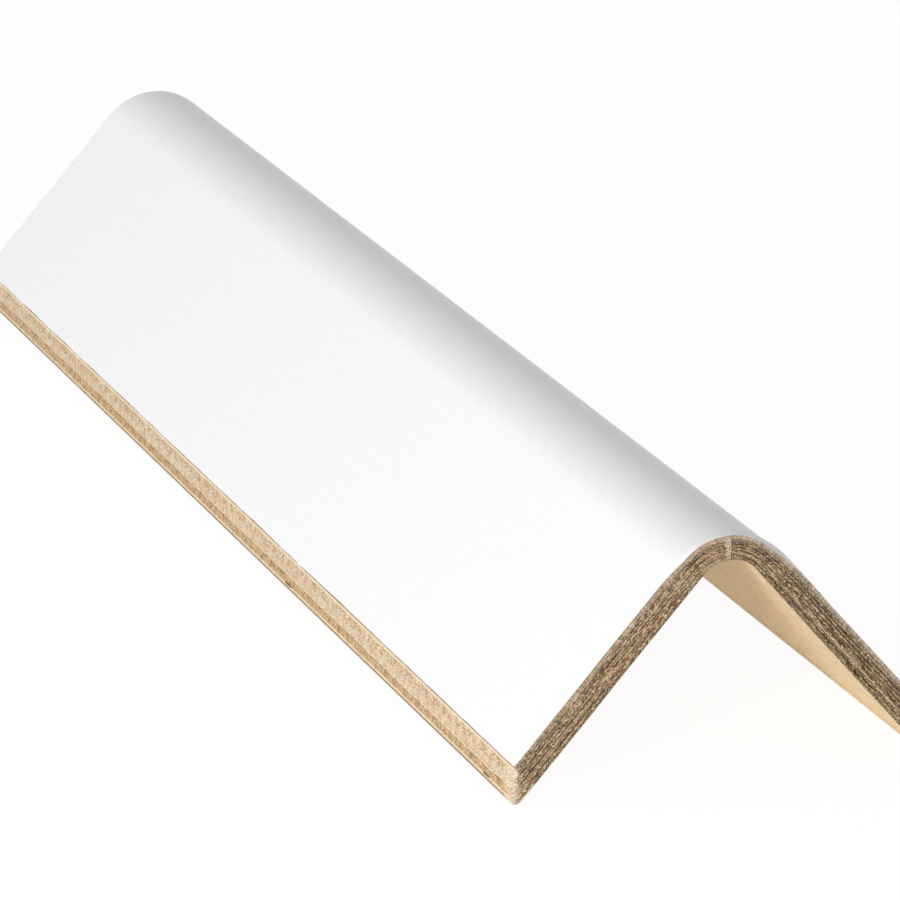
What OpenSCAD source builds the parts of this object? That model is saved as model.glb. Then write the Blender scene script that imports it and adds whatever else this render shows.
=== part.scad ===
// Pallet edge protector: a length of laminated board, roll-formed to a rounded V.
// It stands as a tent on the folded feet of its two legs, with the fold along Y.

/* [Board] */
// Length of the board along its fold
board_length = 300; // [100:5:1200]
// Width of each leg's white face, from the corner that the two faces point to
leg_width = 50; // [35:1:100]
// Slope of each leg from level, 45 for a square corner
leg_slope = 48.75; // [42:0.25:52]

/* [Fold] */
// Radius of the fold on the white face
fold_radius_out = 11.5; // [10:0.5:16]
// Radius of the fold on the inner face, where the plies are crushed together
fold_radius_in = 5.7; // [4:0.1:7.5]

/* [Layers] */
// Thickness of the white facing paper
facing_t = 0.3; // [0.2:0.05:0.5]
// Thickness of the outer brown paper wrap
wrap_t = 0.3; // [0.2:0.05:0.4]
// Thickness of one ply of the core
ply_t = 0.5; // [0.4:0.05:0.7]
// Number of plies in the core
ply_count = 7; // [5:1:11]
// Thickness of the inner brown paper liner
liner_t = 0.3; // [0.2:0.05:0.4]

/* [Long edges] */
// Angle between the white face and the edge face, where the plies slid past each other
edge_rake = 35; // [30:1:50]
// Outer radius of the wrap's fold at the top of the edge face
wrap_fold_radius = 0.8; // [0.6:0.05:1.2]
// Outer radius of the liner's fold at the foot of the leg
liner_fold_radius = 0.5; // [0.45:0.05:0.8]
// Height of the liner's margin up the edge face, from its fold
liner_turn_up = 3; // [2.5:0.1:3.6]
// Height of the liner's margin left bare under the raw edge of the wrap
liner_bare = 2.2; // [0.8:0.1:2.4]

/* [Cut ends] */
// Depth that every other ply is set back at the cut ends
ply_set_back = 0.25; // [0.1:0.05:0.6]

/* [Hidden] */

$fn = 96;
// Overshoot of a shape past the face that trims it
past = 2;
// Overshoot of a trimming shape down the legs, past all that it trims
far_past = 10;

// Depths of the layers under the white face
wrap_depth = facing_t;
core_depth = wrap_depth + wrap_t;
liner_depth = core_depth + ply_count * ply_t;
board_t = liner_depth + liner_t;

// Edge face in leg coordinates, [distance down the leg, depth under the white face]
edge_run_dir = [cos(edge_rake), sin(edge_rake)];
edge_out_dir = [sin(edge_rake), -cos(edge_rake)];
wrap_fold = [leg_width, wrap_depth + wrap_fold_radius];
foot_depth = board_t - liner_fold_radius;
foot_drop = foot_depth - wrap_fold[1];
foot_inset = wrap_t + liner_fold_radius - wrap_fold_radius;
liner_fold = [leg_width + (foot_drop * cos(edge_rake) - foot_inset) / sin(edge_rake), foot_depth];
edge_run = (liner_fold - wrap_fold) * edge_run_dir;

// Height of the corner that the two white faces point to, with the feet at zero
corner_z = liner_fold[0] * sin(leg_slope) + liner_fold[1] * cos(leg_slope) + liner_fold_radius;

// Place of a leg coordinate in the section of the right leg
function on_leg(p) = [
    p[0] * cos(leg_slope) - p[1] * sin(leg_slope),
    corner_z - p[0] * sin(leg_slope) - p[1] * cos(leg_slope)
];

function left(points) = [for (i = [len(points) - 1 : -1 : 0]) [-points[i][0], points[i][1]]];

// Outline across both legs from leg coordinates listed down one leg
function across(leg_points) = let (right = [for (p = leg_points) on_leg(p)]) concat(left(right), right);

// The fold tightens from the outer to the inner radius through the depth of the board
function fold_radius(depth) = fold_radius_out - (fold_radius_out - fold_radius_in) * depth / board_t;

// Distance down the leg at which the fold runs out into the flat
function fold_end(depth) = (fold_radius(depth) + depth) * tan(leg_slope);

// Point on the edge face, by its distance down the face and its inset from the wrap's surface
function on_edge(run, inset) = wrap_fold + (wrap_fold_radius - inset) * edge_out_dir + run * edge_run_dir;

// Runs a section along the board, centred on its middle
module along_board(length) {
    rotate([90, 0, 0])
        linear_extrude(height = length, center = true)
            children();
}

module both_legs() {
    children();
    mirror([1, 0, 0])
        children();
}

// Solid under the board's surface at one depth, down to the given points of each leg
module filled_under(depth, leg_points, length) {
    translate([0, 0, corner_z - (fold_radius(depth) + depth) / cos(leg_slope)])
        along_board(length)
            circle(fold_radius(depth));
    along_board(length)
        polygon(across(concat([[fold_end(depth), depth]], leg_points)));
}

// Everything under the board's surface at one depth, to trim a layer with
module trim_under(depth, length) {
    filled_under(depth, [[liner_fold[0] + far_past, depth]], length + past);
}

// One layer between two depths, square cut at one distance down each leg
module layer(depth, depth_under, foot, length = board_length) {
    difference() {
        filled_under(depth, [[foot, depth], [foot, depth_under + past]], length);
        trim_under(depth_under, length);
    }
}

// Solid inside the wrap's outer surface, round its folds and down the edge faces
module filled_wrap(inset, leg_points, length = board_length) {
    depth = wrap_depth + inset;
    filled_under(depth, concat([[leg_width, depth], on_edge(0, inset)], leg_points), length);
    both_legs()
        along_board(length)
            translate(on_leg(wrap_fold))
                circle(wrap_fold_radius - inset);
}

// Corner points of a leg inside the liner's outer surface, from the edge face to its round foot
function foot_points(margin_top, inset) = [
    on_edge(margin_top, wrap_t + inset),
    on_edge(edge_run, wrap_t + inset),
    liner_fold,
    [liner_fold[0], board_t + past]
];

// Trims a leg's points to the inner face, inside the liner's outer surface, and rounds the feet
module round_feet(inset, length = board_length) {
    difference() {
        children();
        trim_under(board_t - inset, length);
    }
    both_legs()
        along_board(length)
            translate(on_leg(liner_fold))
                circle(liner_fold_radius - inset);
}

// White coated paper over the outer face, with raw edges at the top of the edge faces
module white_facing() {
    color([0.96, 0.97, 0.96])
        layer(0, wrap_depth, leg_width);
}

// Brown paper under the facing, with its margins turned down over the edge faces
module outer_wrap() {
    raw_edge = edge_run - liner_bare;
    color([0.84, 0.70, 0.53])
        difference() {
            filled_wrap(0, [on_edge(raw_edge, 0), on_edge(raw_edge, wrap_t + past)]);
            filled_wrap(wrap_t, [on_edge(raw_edge + far_past, wrap_t)], board_length + past);
        }
}

// Pressed stack of plies, with a rebate for the liner's turned-up margin
module pressed_plies() {
    rebate_top = edge_run - liner_turn_up;
    round_feet(liner_t)
        filled_wrap(wrap_t, concat([on_edge(rebate_top, wrap_t)], foot_points(rebate_top, liner_t)));
}

// Recycled board plies, glued and pressed to one piece, every other ply shy of the cut ends
module ply_core() {
    color([0.52, 0.42, 0.30])
        difference() {
            pressed_plies();
            for (i = [1 : 2 : ply_count - 2], end = [-1, 1]) {
                depth = core_depth + i * ply_t;
                translate([0, end * (board_length + past - ply_set_back) / 2, 0])
                    layer(depth, depth + ply_t, liner_fold[0] + past, past + ply_set_back);
            }
        }
}

// Board inside the liner's outer surface, from a depth in the core to the round feet
module filled_liner(inset, depth, margin_top, length = board_length) {
    in_core = on_edge(margin_top, wrap_t + liner_t + ply_t);
    round_feet(inset, length)
        filled_under(depth, concat([in_core], foot_points(margin_top, inset)), length);
}

// Brown paper over the inner face, with its margins turned up round the feet of the legs
module inner_liner() {
    margin_top = edge_run - liner_turn_up;
    color([0.88, 0.74, 0.56])
        difference() {
            filled_liner(0, core_depth + ply_t, margin_top);
            filled_liner(liner_t, core_depth, margin_top - past, board_length + past);
        }
}

white_facing();
outer_wrap();
ply_core();
inner_liner();
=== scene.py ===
import random
from math import copysign, cos, exp, pi, radians, sin, sqrt, tan
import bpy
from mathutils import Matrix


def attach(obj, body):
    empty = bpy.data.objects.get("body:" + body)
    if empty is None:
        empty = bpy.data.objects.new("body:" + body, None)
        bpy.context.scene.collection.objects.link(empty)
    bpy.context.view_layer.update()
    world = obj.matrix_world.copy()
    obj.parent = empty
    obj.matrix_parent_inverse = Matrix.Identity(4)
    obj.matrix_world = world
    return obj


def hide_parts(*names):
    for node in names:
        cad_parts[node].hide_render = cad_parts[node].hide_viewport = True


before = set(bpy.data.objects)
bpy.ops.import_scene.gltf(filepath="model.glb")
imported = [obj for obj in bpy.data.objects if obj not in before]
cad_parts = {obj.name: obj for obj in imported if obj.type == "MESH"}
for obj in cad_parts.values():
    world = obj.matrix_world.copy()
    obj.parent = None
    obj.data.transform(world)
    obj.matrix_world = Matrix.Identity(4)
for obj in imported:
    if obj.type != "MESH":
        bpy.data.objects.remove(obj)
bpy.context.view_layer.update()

from types import SimpleNamespace

import bmesh
import bpy
import numpy as np
from mathutils import Matrix, Vector, noise


# White facing: the white coated paper that covers the outside of the board.
# It is glued on flat before the board is roll-formed, and its raw edges stop at the top of the
# long edges. The cutter leaves its ends a little ragged and crushes them beside the fold.

mm = 0.001
board_length = 300 * mm
half_length = board_length / 2
leg_width = 50 * mm
leg_slope = radians(48.75)
fold_radius_out = 11.5 * mm
fold_radius_in = 5.7 * mm
facing_t = 0.3 * mm
board_t = 4.4 * mm
edge_rake = radians(35)
wrap_fold_radius = 0.8 * mm
foot_radius = 0.5 * mm
wrap_fold = Vector((leg_width, facing_t + wrap_fold_radius))
foot_depth = board_t - foot_radius
foot_fold = Vector((leg_width + (foot_depth - wrap_fold.y) / tan(edge_rake), foot_depth))
edge_run = (foot_depth - wrap_fold.y) / sin(edge_rake)
edge_down = Vector((cos(edge_rake), sin(edge_rake)))
edge_out = Vector((sin(edge_rake), -cos(edge_rake)))
corner_height = foot_fold.x * sin(leg_slope) + foot_fold.y * cos(leg_slope) + foot_radius
end_reach = 8 * mm
ends_shy = 0.15 * mm
blade_place = 0.7 * mm
blade_step = 0.24 * mm
notch_place = 34.6 * mm
notch_cut = 0.8 * mm
notch_top = 3.3 * mm
# Crushed and swollen places of the near end: place across, reach and amount
near_end_crush = [
    (-11 * mm, 3.5 * mm, 0.45 * mm),
    (12 * mm, 5.5 * mm, 0.8 * mm),
    (34 * mm, 14 * mm, 0.1 * mm),
]
near_end_swell = [
    (0, 5 * mm, 0.18 * mm),
    (15 * mm, 6 * mm, 0.55 * mm),
    (36 * mm, 16 * mm, 0.27 * mm),
]


def bump(value, middle, reach):
    """A smooth hump of height one around a middle."""
    return exp(-(((value - middle) / reach) ** 2))


def drift(value, grain, seed):
    """A slow wander between about -1 and 1 along one direction."""
    return noise.noise((value / grain, seed, 0.5)) * 1.6


def rounded(radius, inside):
    """How far a rounded corner falls back at a place so far inside of its side."""
    return radius - sqrt(radius**2 - (radius - min(radius, max(0, inside))) ** 2)


def held(value):
    """A value held between zero and one."""
    return min(1, max(0, value))


def near_end_wear(across, depth, from_end):
    """Set-back of the near end by the blade mark and the torn notch, and its crush, swell and inner lip."""
    blade_side = across - blade_place + 0.22 * mm * noise.noise((depth / (0.5 * mm), 4, 1))
    blade_mark = blade_step * held(blade_side / (0.5 * mm) + 0.5) * bump(across, 0, 4.5 * mm)
    torn = notch_cut * bump(across, notch_place, 1.7 * mm) * (1 + drift(across, 0.6 * mm, 2))
    notch = torn * held((depth - notch_top) / (0.4 * mm))
    inwards = depth / board_t
    crush = sum(amount * bump(across, place, reach) for place, reach, amount in near_end_crush)
    crush *= bump(from_end, 0, 1.2 * mm) * (1 - 0.8 * inwards)
    swell = sum(amount * bump(across, place, reach) for place, reach, amount in near_end_swell)
    swell *= bump(from_end, 0, 3.5 * mm) * (1 - inwards)
    lip = 0.3 * mm * bump(across, 9 * mm, 9 * mm) * bump(from_end, 0, 1.5 * mm) * inwards**3
    return blade_mark + notch, crush - swell - lip


def cut_ends(bm):
    """Moves a flat layer's ends to where the cutter and handling left them."""
    for vert in bm.verts:
        across, along, depth = vert.co
        end = copysign(1, along)
        from_end = half_length - abs(along)
        if from_end > end_reach:
            continue
        worn = end < 0 and across < 0
        foot_corner = (1.0 if worn else 0.8) * mm
        top_corner = (0.8 if worn and depth > facing_t else 0.3) * mm
        on_leg = Vector((abs(across), depth)) - wrap_fold
        shy = ends_shy + 0.10 * mm * drift(across, 14 * mm, 3 * end)
        shy += 0.035 * mm * drift(across, 0.9 * mm, 7 * end)
        shy += rounded(foot_corner, edge_run + foot_radius - on_leg.dot(edge_down))
        shy += rounded(top_corner, wrap_fold_radius - on_leg.dot(edge_out))
        if end < 0:
            set_back, crush = near_end_wear(across, depth, from_end)
            shy += set_back
            vert.co.z += crush
        vert.co.y -= end * shy * (1 - from_end / end_reach) ** 2


def roll_form(bm):
    """Bends a flat layer, laid out as (across, along, depth under the white face), to the rounded V."""
    for vert in bm.verts:
        across, along, depth = vert.co
        radius = fold_radius_out - (fold_radius_out - fold_radius_in) * depth / board_t
        run_out = (radius + depth) * tan(leg_slope)
        bent = leg_slope * max(-1, min(1, across / run_out))
        past_fold = max(0, abs(across) - run_out)
        centre_z = corner_height - (radius + depth) / cos(leg_slope)
        vert.co.x = radius * sin(bent) + copysign(past_fold * cos(leg_slope), across)
        vert.co.z = centre_z + radius * cos(bent) - past_fold * sin(leg_slope)


def gathered(share, pull_in):
    """Spreads even shares from -1 to 1 so that they gather towards both ends."""
    return share + pull_in * sin(pi * share) / pi


def unit_slab(columns, rows):
    """A grid from -1 to 1 both ways, extruded to a slab of unit height."""
    bm = bmesh.new()
    bmesh.ops.create_grid(bm, x_segments=columns, y_segments=rows, size=1)
    raised = bmesh.ops.extrude_face_region(bm, geom=bm.faces[:], use_keep_orig=True)
    for part in raised["geom"]:
        if isinstance(part, bmesh.types.BMVert):
            part.co.z = 1
    return bm


def cut_and_roll(bm):
    """Gives a flat layer its cut ends and its rounded V, and turns its faces outwards."""
    cut_ends(bm)
    roll_form(bm)
    bmesh.ops.recalc_face_normals(bm, faces=bm.faces)


def paper_sheet(strip, stops, columns, rows, thickness):
    """A sheet of paper laid along a strip, from a slab of its two faces, cut and rolled.
    The stops give shares of the grid and the distances from the middle that they are laid at."""
    bm = unit_slab(columns, rows)
    shares, distances = zip(*stops)
    laid_out = bm.verts.layers.float_vector.new("laid_out")
    for vert in bm.verts:
        along = gathered(vert.co.y, 0.96) * half_length
        side = copysign(1, vert.co.x)
        distance = float(np.interp(abs(vert.co.x), shares, distances))
        under = vert.co.z * thickness
        across, depth = strip(distance, along, side, under)
        vert[laid_out] = (side * distance, along, under)
        vert.co = (side * across, along, depth)
    cut_and_roll(bm)
    return bm


def finish_piece(bm, name, material, node=None):
    """Makes a shaped mesh an object on the board, which stands for a solid where one is named."""
    mesh = bpy.data.meshes.new(name)
    bm.to_mesh(mesh)
    bm.free()
    mesh.materials.append(material)
    mesh.shade_smooth()
    mesh.set_sharp_from_angle(angle=radians(40))
    piece = bpy.data.objects.new(name, mesh)
    bpy.context.collection.objects.link(piece)
    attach(piece, "root")
    if node:
        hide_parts(node)


def add_node(tree, kind, inputs=None, **settings):
    """Adds a shader node with its settings and the values or links of its inputs."""
    made = tree.nodes.new(kind)
    for key, value in settings.items():
        setattr(made, key, value)
    for key, value in (inputs or {}).items():
        if isinstance(value, bpy.types.NodeSocket):
            tree.links.new(value, made.inputs[key])
        else:
            made.inputs[key].default_value = value
    return made


def ramp(tree, value, low, high, bottom, top):
    """Maps a value's range to another, and holds it there."""
    limits = {"From Min": low, "From Max": high, "To Min": bottom, "To Max": top}
    return add_node(tree, "ShaderNodeMapRange", {"Value": value, **limits}).outputs["Result"]


def calc(tree, operation, first, second=0.0):
    """Works out one value from one or two others."""
    return add_node(tree, "ShaderNodeMath", {0: first, 1: second}, operation=operation).outputs[0]


def scaled(tree, place, scale):
    """A place with its three directions scaled."""
    return add_node(tree, "ShaderNodeMapping", {"Vector": place, "Scale": scale}).outputs["Vector"]


def cloud(tree, place, scale, **details):
    """A cloudy noise at a place."""
    inputs = {"Vector": place, "Scale": scale, **details}
    return add_node(tree, "ShaderNodeTexNoise", inputs).outputs["Fac"]


def tint(tree, share, first, second, blend="MIX"):
    """Mixes or multiplies two colours, or a link and a colour, by a share."""
    made = tree.nodes.new("ShaderNodeMix")
    made.data_type = "RGBA"
    made.blend_type = blend
    for key, value in {"Factor": share, "A": first, "B": second}.items():
        if isinstance(value, bpy.types.NodeSocket):
            tree.links.new(value, made.inputs[key])
        else:
            made.inputs[key].default_value = value if isinstance(value, float) else (*value, 1)
    return made.outputs["Result"]


def new_material(name):
    """A material with a Principled shader, its tree and that shader."""
    material = bpy.data.materials.new(name)
    material.use_nodes = True
    return material, material.node_tree, material.node_tree.nodes["Principled BSDF"]


def new_group(name, place, outputs):
    """An empty shader group that reads a place, its input, and its outputs' sockets."""
    group = bpy.data.node_groups.new(name, "ShaderNodeTree")
    group.interface.new_socket(place, in_out="INPUT", socket_type="NodeSocketVector")
    for output in outputs:
        group.interface.new_socket(output, in_out="OUTPUT", socket_type="NodeSocketFloat")
    return group, group.nodes.new("NodeGroupInput").outputs[place], group.nodes.new("NodeGroupOutput")


def paper_fibre_group():
    """Cloudy mottle, streaks along the paper, fine fibre and flecks, shared by all papers."""
    group, flat, out = new_group("paper_fibre", "Laid Out", ("Mottle", "Streak", "Fibre", "Fleck"))
    mottle = cloud(group, flat, 640, Detail=4, Roughness=0.6)
    streak = cloud(group, scaled(group, flat, (1, 0.16, 1)), 2600, Detail=3, Roughness=0.6)
    fibre = cloud(group, scaled(group, flat, (1.4, 0.75, 1)), 3200, Detail=2, Distortion=0.8)
    fleck = add_node(group, "ShaderNodeTexVoronoi", {"Vector": flat, "Scale": 900, "Randomness": 1})
    group.links.new(mottle, out.inputs["Mottle"])
    group.links.new(streak, out.inputs["Streak"])
    group.links.new(fibre, out.inputs["Fibre"])
    group.links.new(ramp(group, fleck.outputs["Distance"], 0.05, 0.16, 1.0, 0.0), out.inputs["Fleck"])
    return group


def torn_grain_group():
    """Pale and dark flecks of torn fibre, one cell to a unit of place, shared by all cut ends."""
    group, place, out = new_group("torn_grain", "Place", ("Pale", "Dark", "Height"))
    cells = add_node(group, "ShaderNodeTexVoronoi", {"Vector": place, "Scale": 1, "Randomness": 1})
    tone = add_node(group, "ShaderNodeSeparateXYZ", {"Vector": cells.outputs["Color"]})
    group.links.new(ramp(group, tone.outputs["X"], 0.70, 0.90, 0.0, 1.0), out.inputs["Pale"])
    group.links.new(ramp(group, tone.outputs["X"], 0.30, 0.12, 0.0, 1.0), out.inputs["Dark"])
    group.links.new(tone.outputs["Y"], out.inputs["Height"])
    return group


paper_fibre = paper_fibre_group()
torn_grain = torn_grain_group()


def torn_pattern(tree, place, scale):
    """The flecks of torn fibre at a place, with its three directions scaled."""
    grain = add_node(tree, "ShaderNodeGroup", node_tree=torn_grain)
    tree.links.new(scaled(tree, place, scale), grain.inputs["Place"])
    return grain.outputs


def read_paper(tree):
    """A sheet's patterns and coordinates: along and across it, also as plain distances from its middle."""
    laid_out = add_node(tree, "ShaderNodeAttribute", attribute_name="laid_out").outputs["Vector"]
    fibre = add_node(tree, "ShaderNodeGroup", node_tree=paper_fibre)
    tree.links.new(laid_out, fibre.inputs["Laid Out"])
    signed = add_node(tree, "ShaderNodeSeparateXYZ", {"Vector": laid_out})
    return SimpleNamespace(
        laid_out=laid_out,
        fibre=fibre.outputs,
        grain=torn_pattern(tree, laid_out, (6500, 6500, 9000)),
        across=signed.outputs["X"],
        along=signed.outputs["Y"],
        distance=calc(tree, "ABSOLUTE", signed.outputs["X"]),
        from_middle=calc(tree, "ABSOLUTE", signed.outputs["Y"]),
    )


def flecked(tree, grain, tone, pale, dark):
    """A tone of torn fibre with paler and darker flecks."""
    tone = tint(tree, grain["Pale"], tone, pale)
    return tint(tree, grain["Dark"], tone, dark)


def at_cut(tree, sheet):
    """One on the cut ends of a sheet."""
    return ramp(tree, sheet.from_middle, half_length - 0.10 * mm, half_length - 0.01 * mm, 0.0, 1.0)


def set_relief(tree, shader, height, strength, distance):
    """Lets a pattern stand out of the surface."""
    inputs = {"Height": height, "Strength": strength, "Distance": distance}
    relief = add_node(tree, "ShaderNodeBump", inputs)
    tree.links.new(relief.outputs["Normal"], shader.inputs["Normal"])


def white_coated_paper():
    """White coating over a torn brown rim, with a dark line at its raw edge that is painted shadow, broken
    and fading along the board.
    """
    material, tree, shader = new_material("white_coated_paper")
    sheet = read_paper(tree)
    clouds = ramp(tree, sheet.fibre["Mottle"], 0.35, 0.7, 0.0, 1.0)
    base = tint(tree, clouds, (0.925, 0.93, 0.925), (0.895, 0.902, 0.90))
    right_leg = ramp(tree, sheet.across, 4 * mm, 10 * mm, 0.0, 1.0)
    rim = tint(tree, right_leg, (0.42, 0.29, 0.19), (0.40, 0.35, 0.29))
    rim = flecked(tree, sheet.grain, rim, (0.68, 0.53, 0.39), (0.14, 0.095, 0.06))
    base = tint(tree, at_cut(tree, sheet), base, rim)
    # The dark line at the raw edge is painted shadow under the facing's edge; it fades towards the far end
    # and is broken by the mottle.
    raw_edge = ramp(tree, sheet.distance, leg_width - 0.05 * mm, leg_width, 0.0, 0.95)
    shadow_fades_along = ramp(tree, sheet.along, -110 * mm, 60 * mm, 0.10, -0.14)
    broken = calc(tree, "ADD", sheet.fibre["Mottle"], shadow_fades_along)
    raw_edge = calc(tree, "MULTIPLY", raw_edge, ramp(tree, broken, 0.42, 0.52, 0.2, 1.0))
    base = tint(tree, raw_edge, base, (0.13, 0.085, 0.05))
    tree.links.new(base, shader.inputs["Base Color"])
    tree.links.new(ramp(tree, sheet.fibre["Streak"], 0.3, 0.7, 0.36, 0.47), shader.inputs["Roughness"])
    set_relief(tree, shader, sheet.fibre["Fibre"], 0.12, 0.05 * mm)
    return material


def facing_strip(distance, along, side, under):
    """Place of the facing, whose raw edge wanders and has one small tab on the left."""
    raw_edge = 0.07 * mm * drift(along, 9 * mm, 11 * side)
    raw_edge += 0.03 * mm * drift(along, 1.6 * mm, 13 * side)
    if side < 0:
        raw_edge += 0.22 * mm * bump(along, -45.5 * mm, 0.7 * mm)
    return distance + raw_edge * (distance / leg_width) ** 20, under


facing_stops = [(0, 0), (0.55, 15 * mm), (0.9, 49 * mm), (1, leg_width)]
facing = paper_sheet(facing_strip, facing_stops, columns=104, rows=420, thickness=facing_t)
finish_piece(facing, "white_facing_sheet", white_coated_paper(), node="white_facing")


# Outer wrap: the brown paper under the facing, seen on the long edges and as a thin line at the cut ends.
# Its two margins are turned down over the raked edges of the plies and glued there. They end in
# a raw edge that wanders, and lifts in places, over the liner's margin.

wrap_t = 0.3 * mm
liner_bare = 2.2 * mm
wrap_fold_arc = wrap_fold_radius * edge_rake
wrap_turn_down = edge_run - liner_bare
wrap_edge_top = leg_width + wrap_fold_arc
wrap_width = wrap_edge_top + wrap_turn_down
wrap_askew = 0.0012
lifted_place = -140.5 * mm


def on_edge(run, inset):
    """Place on the raked edge, by its distance down the edge and under the wrap's outer face."""
    return wrap_fold + (wrap_fold_radius - inset) * edge_out + run * edge_down


def wrap_strip(distance, along, side, under):
    """Place of the wrap on the face, round its fold and down the long edge, where its raw edge lifts."""
    turned = (distance - leg_width) / wrap_fold_radius
    if turned < 0:
        return distance, facing_t + under
    if turned < edge_rake:
        return wrap_fold + (wrap_fold_radius - under) * Vector((sin(turned), -cos(turned)))
    run = distance - wrap_edge_top
    share = run / wrap_turn_down
    raw_edge = 0.10 * mm * drift(along, 21 * mm, 17 * side)
    raw_edge += 0.05 * mm * drift(along, 1.3 * mm, 19 * side)
    raw_edge -= wrap_askew * along
    lift = 0.10 * mm * max(0, drift(along, 17 * mm, 23 * side))
    if side < 0:
        lift += 0.28 * mm * bump(along, lifted_place, 3.2 * mm)
    return on_edge(run + raw_edge * share**3, under - lift * share**4)


def toned_and_shaded_margin(tree, sheet, base, start, colour, blotches):
    """A margin of another tone, from its start outwards, with dull blotches; its darkening is partly its own
    tone and partly painted shade.
    """
    in_margin = ramp(tree, sheet.distance, start - 0.15 * mm, start + 0.15 * mm, 0.0, 1.0)
    base = tint(tree, in_margin, base, colour, "MULTIPLY")
    dull = ramp(tree, sheet.fibre["Mottle"], 0.48, 0.62, 0.0, blotches)
    return tint(tree, calc(tree, "MULTIPLY", in_margin, dull), base, (0.62, 0.52, 0.42), "MULTIPLY")


def rolled_streaks(tree, sheet, base):
    """Dull and bright streaks along the face, from the rolls that formed it."""
    on_face = ramp(tree, sheet.distance, leg_width, wrap_edge_top, 0.6, 0.0)
    rolled = cloud(tree, scaled(tree, sheet.laid_out, (1, 0.07, 1)), 2400, Detail=3)
    dull = calc(tree, "MULTIPLY", on_face, ramp(tree, rolled, 0.50, 0.64, 0.0, 1.0))
    base = tint(tree, dull, base, (0.80, 0.73, 0.64), "MULTIPLY")
    bright = calc(tree, "MULTIPLY", on_face, ramp(tree, rolled, 0.50, 0.36, 0.0, 1.0))
    return tint(tree, bright, base, (1.15, 1.20, 1.28), "MULTIPLY")


def fibre_grain_and_relief_shade(tree, sheet, base):
    """Fibre speckle, strongest past the fold at the long edge: painted shade on sunk fibres and painted
    highlight on raised ones, with dark flecks.
    """
    rough = ramp(tree, sheet.distance, leg_width, wrap_edge_top, 0.35, 1.0)
    # Sunk fibres darker and raised fibres paler: the relief's shade and highlight painted into the colour.
    sunk_fibre_shade = calc(tree, "MULTIPLY", rough, ramp(tree, sheet.fibre["Fibre"], 0.49, 0.58, 0.0, 0.9))
    base = tint(tree, sunk_fibre_shade, base, (0.50, 0.40, 0.29), "MULTIPLY")
    raised = calc(tree, "MULTIPLY", rough, ramp(tree, sheet.fibre["Fibre"], 0.46, 0.36, 0.0, 0.9))
    base = tint(tree, raised, base, (1.22, 1.27, 1.34), "MULTIPLY")
    flecks = ramp(tree, sheet.fibre["Fleck"], 0.0, 1.0, 0.0, 0.5)
    return tint(tree, flecks, base, (0.68, 0.60, 0.52), "MULTIPLY")


def worn_and_shadow_line(tree, sheet, base, middle, half_width, colour, strength):
    """A line along a fold or a raw edge: the pale ones rubbed pale, the dark ones painted shadow."""
    off = calc(tree, "ABSOLUTE", calc(tree, "SUBTRACT", sheet.distance, middle))
    worn = ramp(tree, off, half_width, half_width + 0.12 * mm, strength, 0.0)
    return tint(tree, worn, base, colour)


def split_and_shadow_mark(tree, sheet, base, across, along, reach_across, reach_along):
    """A dark mark where the paper has split along its fold, also drawn as painted shadow under the wrap's
    lifted raw edge.
    """
    scale = (1 / reach_across, 1 / reach_along, 0)
    shift = (-across / reach_across, -along / reach_along, 0)
    inputs = {"Vector": sheet.laid_out, "Scale": scale, "Location": shift}
    place = add_node(tree, "ShaderNodeMapping", inputs).outputs["Vector"]
    off = add_node(tree, "ShaderNodeVectorMath", {0: place}, operation="LENGTH").outputs["Value"]
    return tint(tree, ramp(tree, off, 0.7, 1.0, 0.85, 0.0), base, (0.12, 0.075, 0.04))


def torn_ends(tree, sheet, base, rim):
    """Fibre rubbed loose on the long edges near their ends, and the torn rim of the cut."""
    near_cut = ramp(tree, sheet.from_middle, half_length - 5.0 * mm, half_length - 2.0 * mm, 0.0, 1.0)
    past_fold = ramp(tree, sheet.distance, wrap_edge_top, wrap_edge_top + 0.6 * mm, 0.0, 1.0)
    frayed = calc(tree, "MULTIPLY", near_cut, past_fold)
    frayed = calc(tree, "MULTIPLY", frayed, ramp(tree, sheet.fibre["Fibre"], 0.60, 0.46, 0.1, 1.0))
    base = tint(tree, frayed, base, (0.76, 0.64, 0.48))
    torn_edge = ramp(tree, sheet.distance, leg_width, wrap_edge_top, 0.0, 1.0)
    ragged = ramp(tree, sheet.grain["Height"], 0.1, 0.7, 0.4, 1.0)
    rim = tint(tree, calc(tree, "MULTIPLY", torn_edge, ragged), rim, (0.76, 0.63, 0.46))
    return tint(tree, at_cut(tree, sheet), base, rim)


def brown_paper(name, pale, deep, lines, rim, margin=None, marks=()):
    """Brown paper with clouds, rolled streaks, fibre speckle with painted relief shade and highlight, worn
    lines and painted shadow lines along its folds, and torn ends.
    It may have a margin darkened partly by its own tone and partly by painted shade, and dark marks at
    splits, one of them painted shadow."""
    material, tree, shader = new_material(name)
    sheet = read_paper(tree)
    base = tint(tree, ramp(tree, sheet.fibre["Mottle"], 0.42, 0.60, 0.0, 1.0), pale, deep)
    if margin:
        base = toned_and_shaded_margin(tree, sheet, base, *margin)
    base = rolled_streaks(tree, sheet, base)
    base = fibre_grain_and_relief_shade(tree, sheet, base)
    for line in lines:
        base = worn_and_shadow_line(tree, sheet, base, *line)
    for mark in marks:
        base = split_and_shadow_mark(tree, sheet, base, *mark)
    base = torn_ends(tree, sheet, base, rim(tree, sheet))
    tree.links.new(base, shader.inputs["Base Color"])
    tree.links.new(ramp(tree, sheet.fibre["Streak"], 0.3, 0.7, 0.62, 0.82), shader.inputs["Roughness"])
    shader.inputs["Specular IOR Level"].default_value = 0.3
    set_relief(tree, shader, sheet.fibre["Fibre"], 0.35, 0.06 * mm)
    return material


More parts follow.
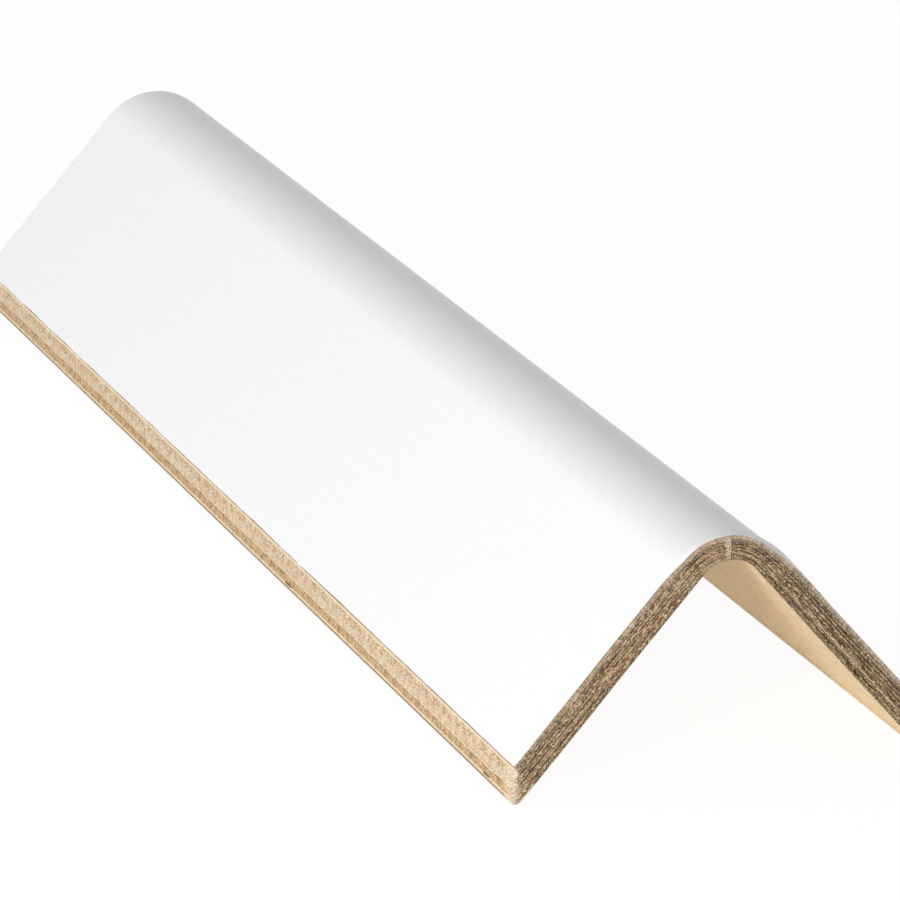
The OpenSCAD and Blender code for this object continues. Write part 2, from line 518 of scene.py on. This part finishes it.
def wrap_rim(tree, sheet):
    """Torn pinkish fibre, darker and greyer on the right leg as painted shade, and scuffed away low on the
    left one.
    """
    scuffed = ramp(tree, sheet.across, -38.2 * mm, -38.8 * mm, 0.0, 1.0)
    # Darker and greyer on the right leg: painted shade.
    dull = ramp(tree, sheet.across, 2 * mm, 9 * mm, 0.0, 1.0)
    tone = tint(tree, scuffed, (0.54, 0.385, 0.255), (0.26, 0.18, 0.11))
    tone = tint(tree, dull, tone, (0.33, 0.27, 0.20))
    return flecked(tree, sheet.grain, tone, (0.74, 0.58, 0.43), (0.16, 0.11, 0.07))


wrap_paper = brown_paper(
    "brown_wrap_paper",
    pale=(0.70, 0.57, 0.405),
    deep=(0.54, 0.375, 0.22),
    lines=[
        # Dark line just under the facing's raw edge: painted shadow.
        (leg_width, 0.10 * mm, (0.22, 0.15, 0.09), 0.7),
        (leg_width + wrap_fold_arc * 0.75, 0.11 * mm, (0.82, 0.70, 0.52), 0.75),
        (wrap_width - 0.8 * mm, 0.45 * mm, (0.66, 0.54, 0.39), 0.35),
        (wrap_width, 0.10 * mm, (0.76, 0.64, 0.47), 0.7),
    ],
    rim=wrap_rim,
)
wrap_stops = [
    (0, 0),
    (0.36, 15 * mm),
    (0.5, 48 * mm),
    (0.56, leg_width),
    (0.68, wrap_edge_top),
    (1, wrap_width),
]
wrap = paper_sheet(wrap_strip, wrap_stops, columns=100, rows=340, thickness=wrap_t)
finish_piece(wrap, "outer_wrap_sheet", wrap_paper, node="outer_wrap")


# Ply core: seven plies of recycled board, glued and pressed to one stack and rolled with the papers.
# The cutter leaves the ply ends rough: some plies stand shy of their neighbours, the glue lines
# show pale or dark between them, and the torn fibres give a speckle of pale and dark.

ply_t = 0.5 * mm
ply_count = 7
liner_t = 0.3 * mm
liner_turn_up = 3 * mm
core_depth = facing_t + wrap_t
core_t = ply_count * ply_t
pale_glue_at_fold = 3.0
pale_glue_on_legs = 5.0


def core_end(depth):
    """Distance from the middle to the end of a ply at one depth, inside the papers' margins."""
    foot_inside = foot_radius - liner_t
    if depth > foot_fold.y - foot_inside * cos(edge_rake):
        return foot_fold.x + sqrt(max(0, foot_inside**2 - (depth - foot_fold.y) ** 2))
    run = max(0, (depth - on_edge(0, wrap_t).y) / sin(edge_rake))
    start = on_edge(0, wrap_t if run < edge_run - liner_turn_up else wrap_t + liner_t)
    return start.x + max(0, depth - start.y) / tan(edge_rake)


def ply_line(across, share, end):
    """Ply number at a share of the stack's depth, with the plies' wavering."""
    waver = 0.13 * drift(across, 9 * mm, end + 31 * share)
    waver += 0.06 * drift(across, 1.6 * mm, end + 37 * share)
    return ply_count * share + waver * sin(pi * share)


def ply_end_relief(across, ply, end):
    """How far the cut end stands shy at a place on the stack."""
    number = int(ply)
    in_ply = ply - number
    shy = 0.16 * mm * (number % 2) + 0.07 * mm * drift(across, 6 * mm, 41 * end + 5 * number)
    groove = 0.12 * mm * bump(min(in_ply, 1 - in_ply), 0, 0.13)
    rough = 0.06 * mm * noise.noise((across / (0.40 * mm), ply * 2.4, end))
    tuft = 0.05 * mm * noise.noise((across / (0.17 * mm), ply * 5.5, 3 + end))
    return max(0, shy) + groove + rough + tuft


def core_stack(columns, rows):
    """The stack from a slab whose two faces become the cut ends, cut and rolled.
    Rings near both ends let the sides follow the swollen and crushed papers."""
    bm = unit_slab(columns, rows)
    in_stack = bm.verts.layers.float_vector.new("in_stack")
    for vert in bm.verts:
        share = (vert.co.y + 1) / 2
        end = 1 if vert.co.z else -1
        depth = core_depth + core_t * share
        across = vert.co.x * core_end(depth)
        ply = ply_line(across, share, end)
        inner = min(1, 8 * share, 8 * (1 - share), 30 * (1 - abs(vert.co.x)))
        vert[in_stack] = (across / mm, ply, end)
        vert.co = (across, end * (half_length - inner * ply_end_relief(across, ply, end)), depth)
    for from_end in (2 * mm, 4 * mm, end_reach):
        for end in (-1, 1):
            ring = Vector((0, end * (half_length - from_end), 0))
            stack = bm.verts[:] + bm.edges[:] + bm.faces[:]
            bmesh.ops.bisect_plane(bm, geom=stack, plane_co=ring, plane_no=(0, 1, 0))
    cut_and_roll(bm)
    return bm


def ply_tones(tree, ply):
    """Tones of the plies from the wrap to the liner."""
    stack = add_node(tree, "ShaderNodeValToRGB", {"Fac": ramp(tree, ply, 0.0, float(ply_count), 0.0, 1.0)})
    tones = [
        (0.00, (0.48, 0.335, 0.205)),
        (0.07, (0.37, 0.26, 0.16)),
        (0.13, (0.27, 0.215, 0.15)),
        (0.24, (0.30, 0.22, 0.14)),
        (0.36, (0.40, 0.25, 0.125)),
        (0.66, (0.385, 0.24, 0.12)),
        (0.82, (0.34, 0.22, 0.12)),
        (1.00, (0.23, 0.15, 0.08)),
    ]
    while len(stack.color_ramp.elements) < len(tones):
        stack.color_ramp.elements.new(0.5)
    for stop, (place, colour) in zip(stack.color_ramp.elements, tones):
        stop.position = place
        stop.color = (*colour, 1)
    return stack.outputs["Color"]


def glue_lines(tree, across, ply, end, base):
    """Glue between the plies, pale in places and dark in others, with one pale line all across."""
    off_line = calc(tree, "ABSOLUTE", calc(tree, "SUBTRACT", calc(tree, "FRACT", ply), 0.5))
    on_line = ramp(tree, off_line, 0.31, 0.42, 0.0, 1.0)
    number = calc(tree, "ROUND", ply)
    stretched = calc(tree, "MULTIPLY", across, 0.14)
    apart = calc(tree, "MULTIPLY", number, 7.3)
    place = add_node(tree, "ShaderNodeCombineXYZ", {"X": stretched, "Y": apart, "Z": end}).outputs[0]
    glue = cloud(tree, place, 1.6, Detail=5)
    beside_fold = calc(tree, "ABSOLUTE", calc(tree, "ADD", across, 9.5))
    pale_number = ramp(tree, beside_fold, 6.0, 6.5, pale_glue_at_fold, pale_glue_on_legs)
    from_pale = calc(tree, "ABSOLUTE", calc(tree, "SUBTRACT", number, pale_number))
    glue = calc(tree, "ADD", glue, ramp(tree, from_pale, 0.0, 1.0, 0.18, -0.05))
    dark_line = calc(tree, "MULTIPLY", on_line, ramp(tree, glue, 0.56, 0.42, 0.0, 0.8))
    pale_line = calc(tree, "MULTIPLY", on_line, ramp(tree, glue, 0.57, 0.66, 0.0, 0.85))
    base = tint(tree, dark_line, base, (0.09, 0.06, 0.038))
    return tint(tree, pale_line, base, (0.68, 0.57, 0.41))


def torn_places(tree, across, ply, end, torn, base):
    """Torn fibre at the fold of the near end, under the fold and at the long edges, and the blade's line."""
    from_fold = calc(tree, "ABSOLUTE", across)
    near_end = ramp(tree, end, -1.0, 0.0, 1.0, 0.0)
    fuzz = calc(tree, "MULTIPLY", ramp(tree, from_fold, 0.5, 1.4, 1.0, 0.0), near_end)
    base = tint(tree, calc(tree, "MULTIPLY", fuzz, torn), base, (0.84, 0.68, 0.50))
    under_fold = calc(tree, "ABSOLUTE", calc(tree, "ADD", across, 6.0))
    inner_plies = ramp(tree, ply, 4.2, 5.6, 0.0, 1.0)
    shreds = calc(tree, "MULTIPLY", ramp(tree, under_fold, 2.0, 6.0, 0.7, 0.0), inner_plies)
    base = tint(tree, calc(tree, "MULTIPLY", shreds, torn), base, (0.60, 0.45, 0.30))
    off_blade = calc(tree, "ABSOLUTE", calc(tree, "SUBTRACT", across, 0.75))
    blade = calc(tree, "MULTIPLY", ramp(tree, off_blade, 0.08, 0.24, 0.85, 0.0), near_end)
    base = tint(tree, blade, base, (0.05, 0.033, 0.02))
    top_end, foot_end = core_end(core_depth) / mm, core_end(core_depth + core_t) / mm
    ply_end = ramp(tree, ply, 0.0, float(ply_count), top_end, foot_end)
    inside_edge = calc(tree, "SUBTRACT", ply_end, from_fold)
    frayed = calc(tree, "MULTIPLY", ramp(tree, inside_edge, 0.3, 1.3, 0.85, 0.0), torn)
    return tint(tree, frayed, base, (0.78, 0.65, 0.49))


def pressed_plies():
    """Plies of pressed recycled board, streaked and speckled by torn fibre, with glue lines between them and
    painted shade darkening the right leg.
    """
    material, tree, shader = new_material("pressed_recycled_plies")
    in_stack = add_node(tree, "ShaderNodeAttribute", attribute_name="in_stack").outputs["Vector"]
    parts = add_node(tree, "ShaderNodeSeparateXYZ", {"Vector": in_stack})
    across, ply, end = (parts.outputs[axis] for axis in "XYZ")
    streak = cloud(tree, scaled(tree, in_stack, (0.22, 3.2, 3)), 1, Detail=3)
    flake = torn_pattern(tree, in_stack, (1.0, 4.2, 1))
    grit = torn_pattern(tree, in_stack, (3.0, 3.8, 1))

    base = ply_tones(tree, ply)
    # Darker towards the right leg: painted shade.
    right_leg_shade = ramp(tree, across, -4.0, 12.0, 0.0, 0.5)
    base = tint(tree, right_leg_shade, base, (0.125, 0.088, 0.05))
    base = tint(tree, ramp(tree, streak, 0.53, 0.68, 0.0, 0.6), base, (0.52, 0.355, 0.195))
    base = tint(tree, ramp(tree, streak, 0.46, 0.32, 0.0, 0.7), base, (0.12, 0.08, 0.048))
    flaked = flecked(tree, flake, base, (0.54, 0.38, 0.22), (0.10, 0.065, 0.036))
    base = tint(tree, ramp(tree, across, -10.0, 10.0, 0.5, 0.7), base, flaked)
    gritty = flecked(tree, grit, base, (0.82, 0.62, 0.41), (0.08, 0.053, 0.032))
    base = tint(tree, ramp(tree, across, -10.0, 10.0, 0.85, 0.65), base, gritty)
    base = glue_lines(tree, across, ply, end, base)
    torn = ramp(tree, grit["Height"], 0.2, 0.6, 0.0, 1.0)
    base = torn_places(tree, across, ply, end, torn, base)
    tree.links.new(base, shader.inputs["Base Color"])
    tree.links.new(ramp(tree, streak, 0.3, 0.7, 0.95, 0.8), shader.inputs["Roughness"])
    shader.inputs["Specular IOR Level"].default_value = 0.15
    set_relief(tree, shader, grit["Height"], 0.5, 0.05 * mm)
    return material


core = core_stack(columns=640, rows=56)
finish_piece(core, "ply_core_stack", pressed_plies(), node="ply_core")


# Loose fibres: wisps of the torn plies and papers that stand out of the cut ends.
# They are thickest at the blade mark on the fold, along the worn foot corner and in the torn notch.

wisp_radius = 0.055 * mm
foot_wisps = 50
# Patches of wisps: count, end, reach across and in depth in mm, and how far they stand out
wisp_patches = [
    (60, -1, (-3.6, 0.2), (0.2, 4.3), 1.0),
    (40, -1, (-9.5, -3.0), (3.2, 4.1), 0.8),
    (10, -1, (33.0, 37.0), (3.2, 3.9), 0.4),
    (110, -1, (-50, 50), (0.8, 3.9), 0.7),
    (110, 1, (-50, 50), (0.8, 3.9), 0.7),
]


def straight_wisp():
    """One straight wisp of unit length and radius, tapered and divided along its length."""
    bm = bmesh.new()
    bmesh.ops.create_cone(bm, cap_ends=True, segments=4, radius1=1, radius2=0.35, depth=1)
    lengthwise = [edge for edge in bm.edges if abs(edge.verts[0].co.z - edge.verts[1].co.z) > 0.5]
    bmesh.ops.subdivide_edges(bm, edges=lengthwise, cuts=3)
    mesh = bpy.data.meshes.new("straight_wisp")
    bm.to_mesh(mesh)
    bm.free()
    return mesh


wisp_mesh = straight_wisp()


def add_wisp(bm, root, out, length, curl):
    """Sets one wisp at its root, turned out of the cut end and curled."""
    before = len(bm.verts)
    bm.from_mesh(wisp_mesh)
    bm.verts.ensure_lookup_table()
    turn = Vector(out).to_track_quat("Z", "Y")
    for vert in bm.verts[before:]:
        share = vert.co.z + 0.5
        curled = wisp_radius * vert.co.x + curl * length * share**2
        vert.co = Vector(root) + turn @ Vector((curled, wisp_radius * vert.co.y, length * share))


def add_wisps(bm, picks, count, end, across, depth, out_share):
    """Scatters wisps over one patch of a cut end, in the flat layout."""
    for _ in range(count):
        length = picks.uniform(0.3, 0.75) * mm
        place = picks.uniform(*across) * mm, picks.uniform(*depth) * mm
        lean = picks.uniform(0, 2 * pi)
        out = (cos(lean), end * picks.uniform(0.4, 1.2) * out_share, sin(lean))
        root = (place[0], end * (half_length - 0.35 * mm), place[1])
        add_wisp(bm, root, out, length, picks.uniform(-0.6, 0.6))


picks = random.Random(7)
wisps = bmesh.new()
for patch in wisp_patches:
    add_wisps(wisps, picks, *patch)
for _ in range(foot_wisps):
    run = picks.uniform(0.2, 1.0) * edge_run
    foot = on_edge(run, picks.uniform(0.05, 0.7) * mm)
    root = (-foot.x, -half_length + picks.uniform(0.2, 0.9) * mm, foot.y)
    out = (-picks.uniform(0.1, 1.0), -picks.uniform(0.2, 1.0), picks.uniform(-1.2, 1.2))
    add_wisp(wisps, root, out, picks.uniform(0.3, 0.8) * mm, picks.uniform(-0.6, 0.6))
bpy.data.meshes.remove(wisp_mesh)
cut_and_roll(wisps)

wisp_fibre, wisp_tree, wisp_shader = new_material("torn_fibre")
wisp_place = add_node(wisp_tree, "ShaderNodeTexCoord").outputs["Object"]
wisp_tone = cloud(wisp_tree, wisp_place, 700, Detail=2)
wisp_share = ramp(wisp_tree, wisp_tone, 0.35, 0.65, 0.0, 1.0)
wisp_colour = tint(wisp_tree, wisp_share, (0.74, 0.60, 0.45), (0.46, 0.33, 0.21))
wisp_tree.links.new(wisp_colour, wisp_shader.inputs["Base Color"])
wisp_tree.links.new(ramp(wisp_tree, wisp_tone, 0.3, 0.7, 0.8, 0.95), wisp_shader.inputs["Roughness"])
wisp_shader.inputs["Specular IOR Level"].default_value = 0.15
finish_piece(wisps, "cut_end_fibres", wisp_fibre)


# Inner liner: the brown paper on the inside of the board, which lies against the load.
# Its margins are turned up round the feet of the legs, under the raw edges of the wrap, and stay
# bare along the lowest part of each long edge, where the fold has cracked in places.

liner_turn = pi - edge_rake
liner_fold_end = foot_fold.x + foot_radius * liner_turn
liner_width = liner_fold_end + liner_turn_up
# Splits on the left margin: place along, reach and height above the fold. The last lies under the wrap's
# lifted raw edge, and its dark mark there is painted shadow.
splits = [
    (-40 * mm, 2.2 * mm, 0.5 * mm),
    (-137.6 * mm, 1.7 * mm, 0.5 * mm),
    (lifted_place, 3.0 * mm, 1.76 * mm),
]


def liner_strip(distance, along, side, under):
    """Place of the liner on the inner face, round the foot and up the long edge, with its splits."""
    turned = (distance - foot_fold.x) / foot_radius
    if turned < 0:
        return distance, board_t - under
    if turned < liner_turn:
        return foot_fold + (foot_radius - under) * Vector((sin(turned), cos(turned)))
    up = distance - liner_fold_end
    crack = 0
    if side < 0:
        open_at = [bump(along, place, reach) * bump(up, height, 0.1 * mm) for place, reach, height in splits]
        crack = 0.2 * mm * max(open_at)
    return on_edge(edge_run - up, wrap_t + max(under, crack))


def liner_rim(tree, sheet):
    """Dark torn fibre, paler under the fold on the left."""
    fuzzy = calc(tree, "ABSOLUTE", calc(tree, "ADD", sheet.across, 5 * mm))
    tone = tint(tree, ramp(tree, fuzzy, 3 * mm, 6 * mm, 1.0, 0.0), (0.19, 0.13, 0.08), (0.44, 0.32, 0.20))
    return flecked(tree, sheet.grain, tone, (0.55, 0.42, 0.28), (0.07, 0.05, 0.03))


liner_paper = brown_paper(
    "brown_liner_paper_with_painted_light",
    # Paler than the wrap's brown, though the same paper: painted light on the inside of the board.
    pale=(0.81, 0.65, 0.43),
    deep=(0.73, 0.555, 0.34),
    # The liner's bare margin on the long edge is darker: partly its own tone, partly painted shade of its
    # recess under the wrap's raw edge.
    margin=(liner_fold_end, (0.72, 0.64, 0.555), 0.7),
    lines=[
        (liner_fold_end + 0.32 * mm, 0.11 * mm, (0.78, 0.66, 0.48), 0.75),
        # Dark line along the underside of the rounded foot: painted shadow.
        (liner_fold_end - 0.45 * mm, 0.46 * mm, (0.26, 0.175, 0.095), 0.9),
    ],
    # Dark marks at the splits; the one under the lifted raw edge is painted shadow.
    marks=[(-liner_fold_end - up, along, 0.27 * mm, 1.05 * reach) for along, reach, up in splits],
    rim=liner_rim,
)
liner_stops = [
    (0, 0),
    (0.34, 12 * mm),
    (0.46, 52 * mm),
    (0.50, foot_fold.x),
    (0.68, liner_fold_end),
    (0.86, liner_fold_end + 0.9 * mm),
    (1, liner_width),
]
liner = paper_sheet(liner_strip, liner_stops, columns=116, rows=300, thickness=liner_t)
finish_piece(liner, "inner_liner_sheet", liner_paper, node="inner_liner")


# Floor, light and camera: a white floor that also glows as a painted fill light, under an even white
# surround, one soft lamp low at the front left, a weaker one at the left, and a long lens from the front
# left, a little above the fold.

floor_bm = bmesh.new()
bmesh.ops.create_grid(floor_bm, x_segments=1, y_segments=1, size=4)
floor_mesh = bpy.data.meshes.new("floor")
floor_bm.to_mesh(floor_mesh)
floor_bm.free()
floor = bpy.data.objects.new("floor", floor_mesh)
bpy.context.collection.objects.link(floor)


def seen_share(tree):
    """One for what the camera sees, straight or in a gloss or a glass."""
    path = tree.nodes.new("ShaderNodeLightPath")
    straight_or_gloss = calc(tree, "MAXIMUM", path.outputs["Is Camera Ray"], path.outputs["Is Glossy Ray"])
    return calc(tree, "MAXIMUM", straight_or_gloss, path.outputs["Is Transmission Ray"])


floor_material, floor_tree, floor_shader = new_material("white_floor")
floor_shader.inputs["Base Color"].default_value = (0.82, 0.82, 0.82, 1)
floor_shader.inputs["Roughness"].default_value = 0.9
floor_shader.inputs["Specular IOR Level"].default_value = 0.0
# The floor also glows in the light it sends to the board: painted light, a fill from below that no lamp
# gives.
floor_shader.inputs["Emission Color"].default_value = (1, 1, 1, 1)
floor_shader.inputs["Emission Strength"].default_value = 0.39
floor_grain = add_node(floor_tree, "ShaderNodeTexNoise", {"Scale": 60, "Detail": 3}).outputs["Fac"]
shaded = add_node(floor_tree, "ShaderNodeBsdfDiffuse")
floor_tone = tint(floor_tree, floor_grain, (0.12, 0.12, 0.12), (0.14, 0.14, 0.14))
floor_tree.links.new(floor_tone, shaded.inputs["Color"])
glow = add_node(floor_tree, "ShaderNodeEmission", {"Color": (1, 1, 1, 1), "Strength": 0.92})
seen_floor = add_node(floor_tree, "ShaderNodeAddShader", {0: shaded.outputs[0], 1: glow.outputs[0]})
floor_mix = add_node(
    floor_tree,
    "ShaderNodeMixShader",
    {"Fac": seen_share(floor_tree), 1: floor_shader.outputs[0], 2: seen_floor.outputs[0]},
)
floor_tree.links.new(floor_mix.outputs[0], floor_tree.nodes["Material Output"].inputs["Surface"])
floor_mesh.materials.append(floor_material)

world = bpy.data.worlds.new("studio")
world.use_nodes = True
bpy.context.scene.world = world
sky = world.node_tree.nodes["Background"]
sky.inputs["Color"].default_value = (1, 1, 1, 1)
level = ramp(world.node_tree, seen_share(world.node_tree), 0.0, 1.0, 0.43, 1.0)
world.node_tree.links.new(level, sky.inputs["Strength"])


def soft_lamp(name, place, aim, size, power):
    """A round soft lamp at a place, turned to what it lights."""
    lamp = bpy.data.lights.new(name, "AREA")
    lamp.shape = "DISK"
    lamp.size = size
    lamp.energy = power
    holder = bpy.data.objects.new(name, lamp)
    holder.location = place
    holder.rotation_euler = (Vector(aim) - Vector(place)).to_track_quat("-Z", "Y").to_euler()
    bpy.context.collection.objects.link(holder)


soft_lamp("key_front_left", (-0.80, -0.74, 0.17), (-0.01, -0.11, 0.02), size=0.4, power=6.0)
soft_lamp("side_left", (-1.0, 0.15, 0.30), (-0.02, 0.05, 0.02), size=0.5, power=2.25)

azimuth = radians(-18.65)
elevation = radians(16.30)
distance = 934.4 * mm
photo_size = 900
focal_pixels = 6463
corner_pixel = (730.908, 497.947)
back = Vector((sin(azimuth) * cos(elevation), -cos(azimuth) * cos(elevation), sin(elevation)))
right = Vector((cos(azimuth), sin(azimuth), 0))
up = back.cross(right)
aside = (corner_pixel[0] - photo_size / 2) * distance / focal_pixels
above = (photo_size / 2 - corner_pixel[1]) * distance / focal_pixels
near_corner = Vector((0, -half_length, corner_height))
stand = near_corner + distance * back - aside * right - above * up
turn = Matrix((right, up, back)).transposed().to_4x4()
lens = bpy.data.cameras.new("camera")
lens.sensor_width = 36
lens.lens = lens.sensor_width * focal_pixels / photo_size
lens.clip_start = 0.01
camera = bpy.data.objects.new("camera", lens)
camera.matrix_world = Matrix.Translation(stand) @ turn
bpy.context.collection.objects.link(camera)
bpy.context.scene.camera = camera
bpy.context.scene.view_settings.view_transform = "Standard"
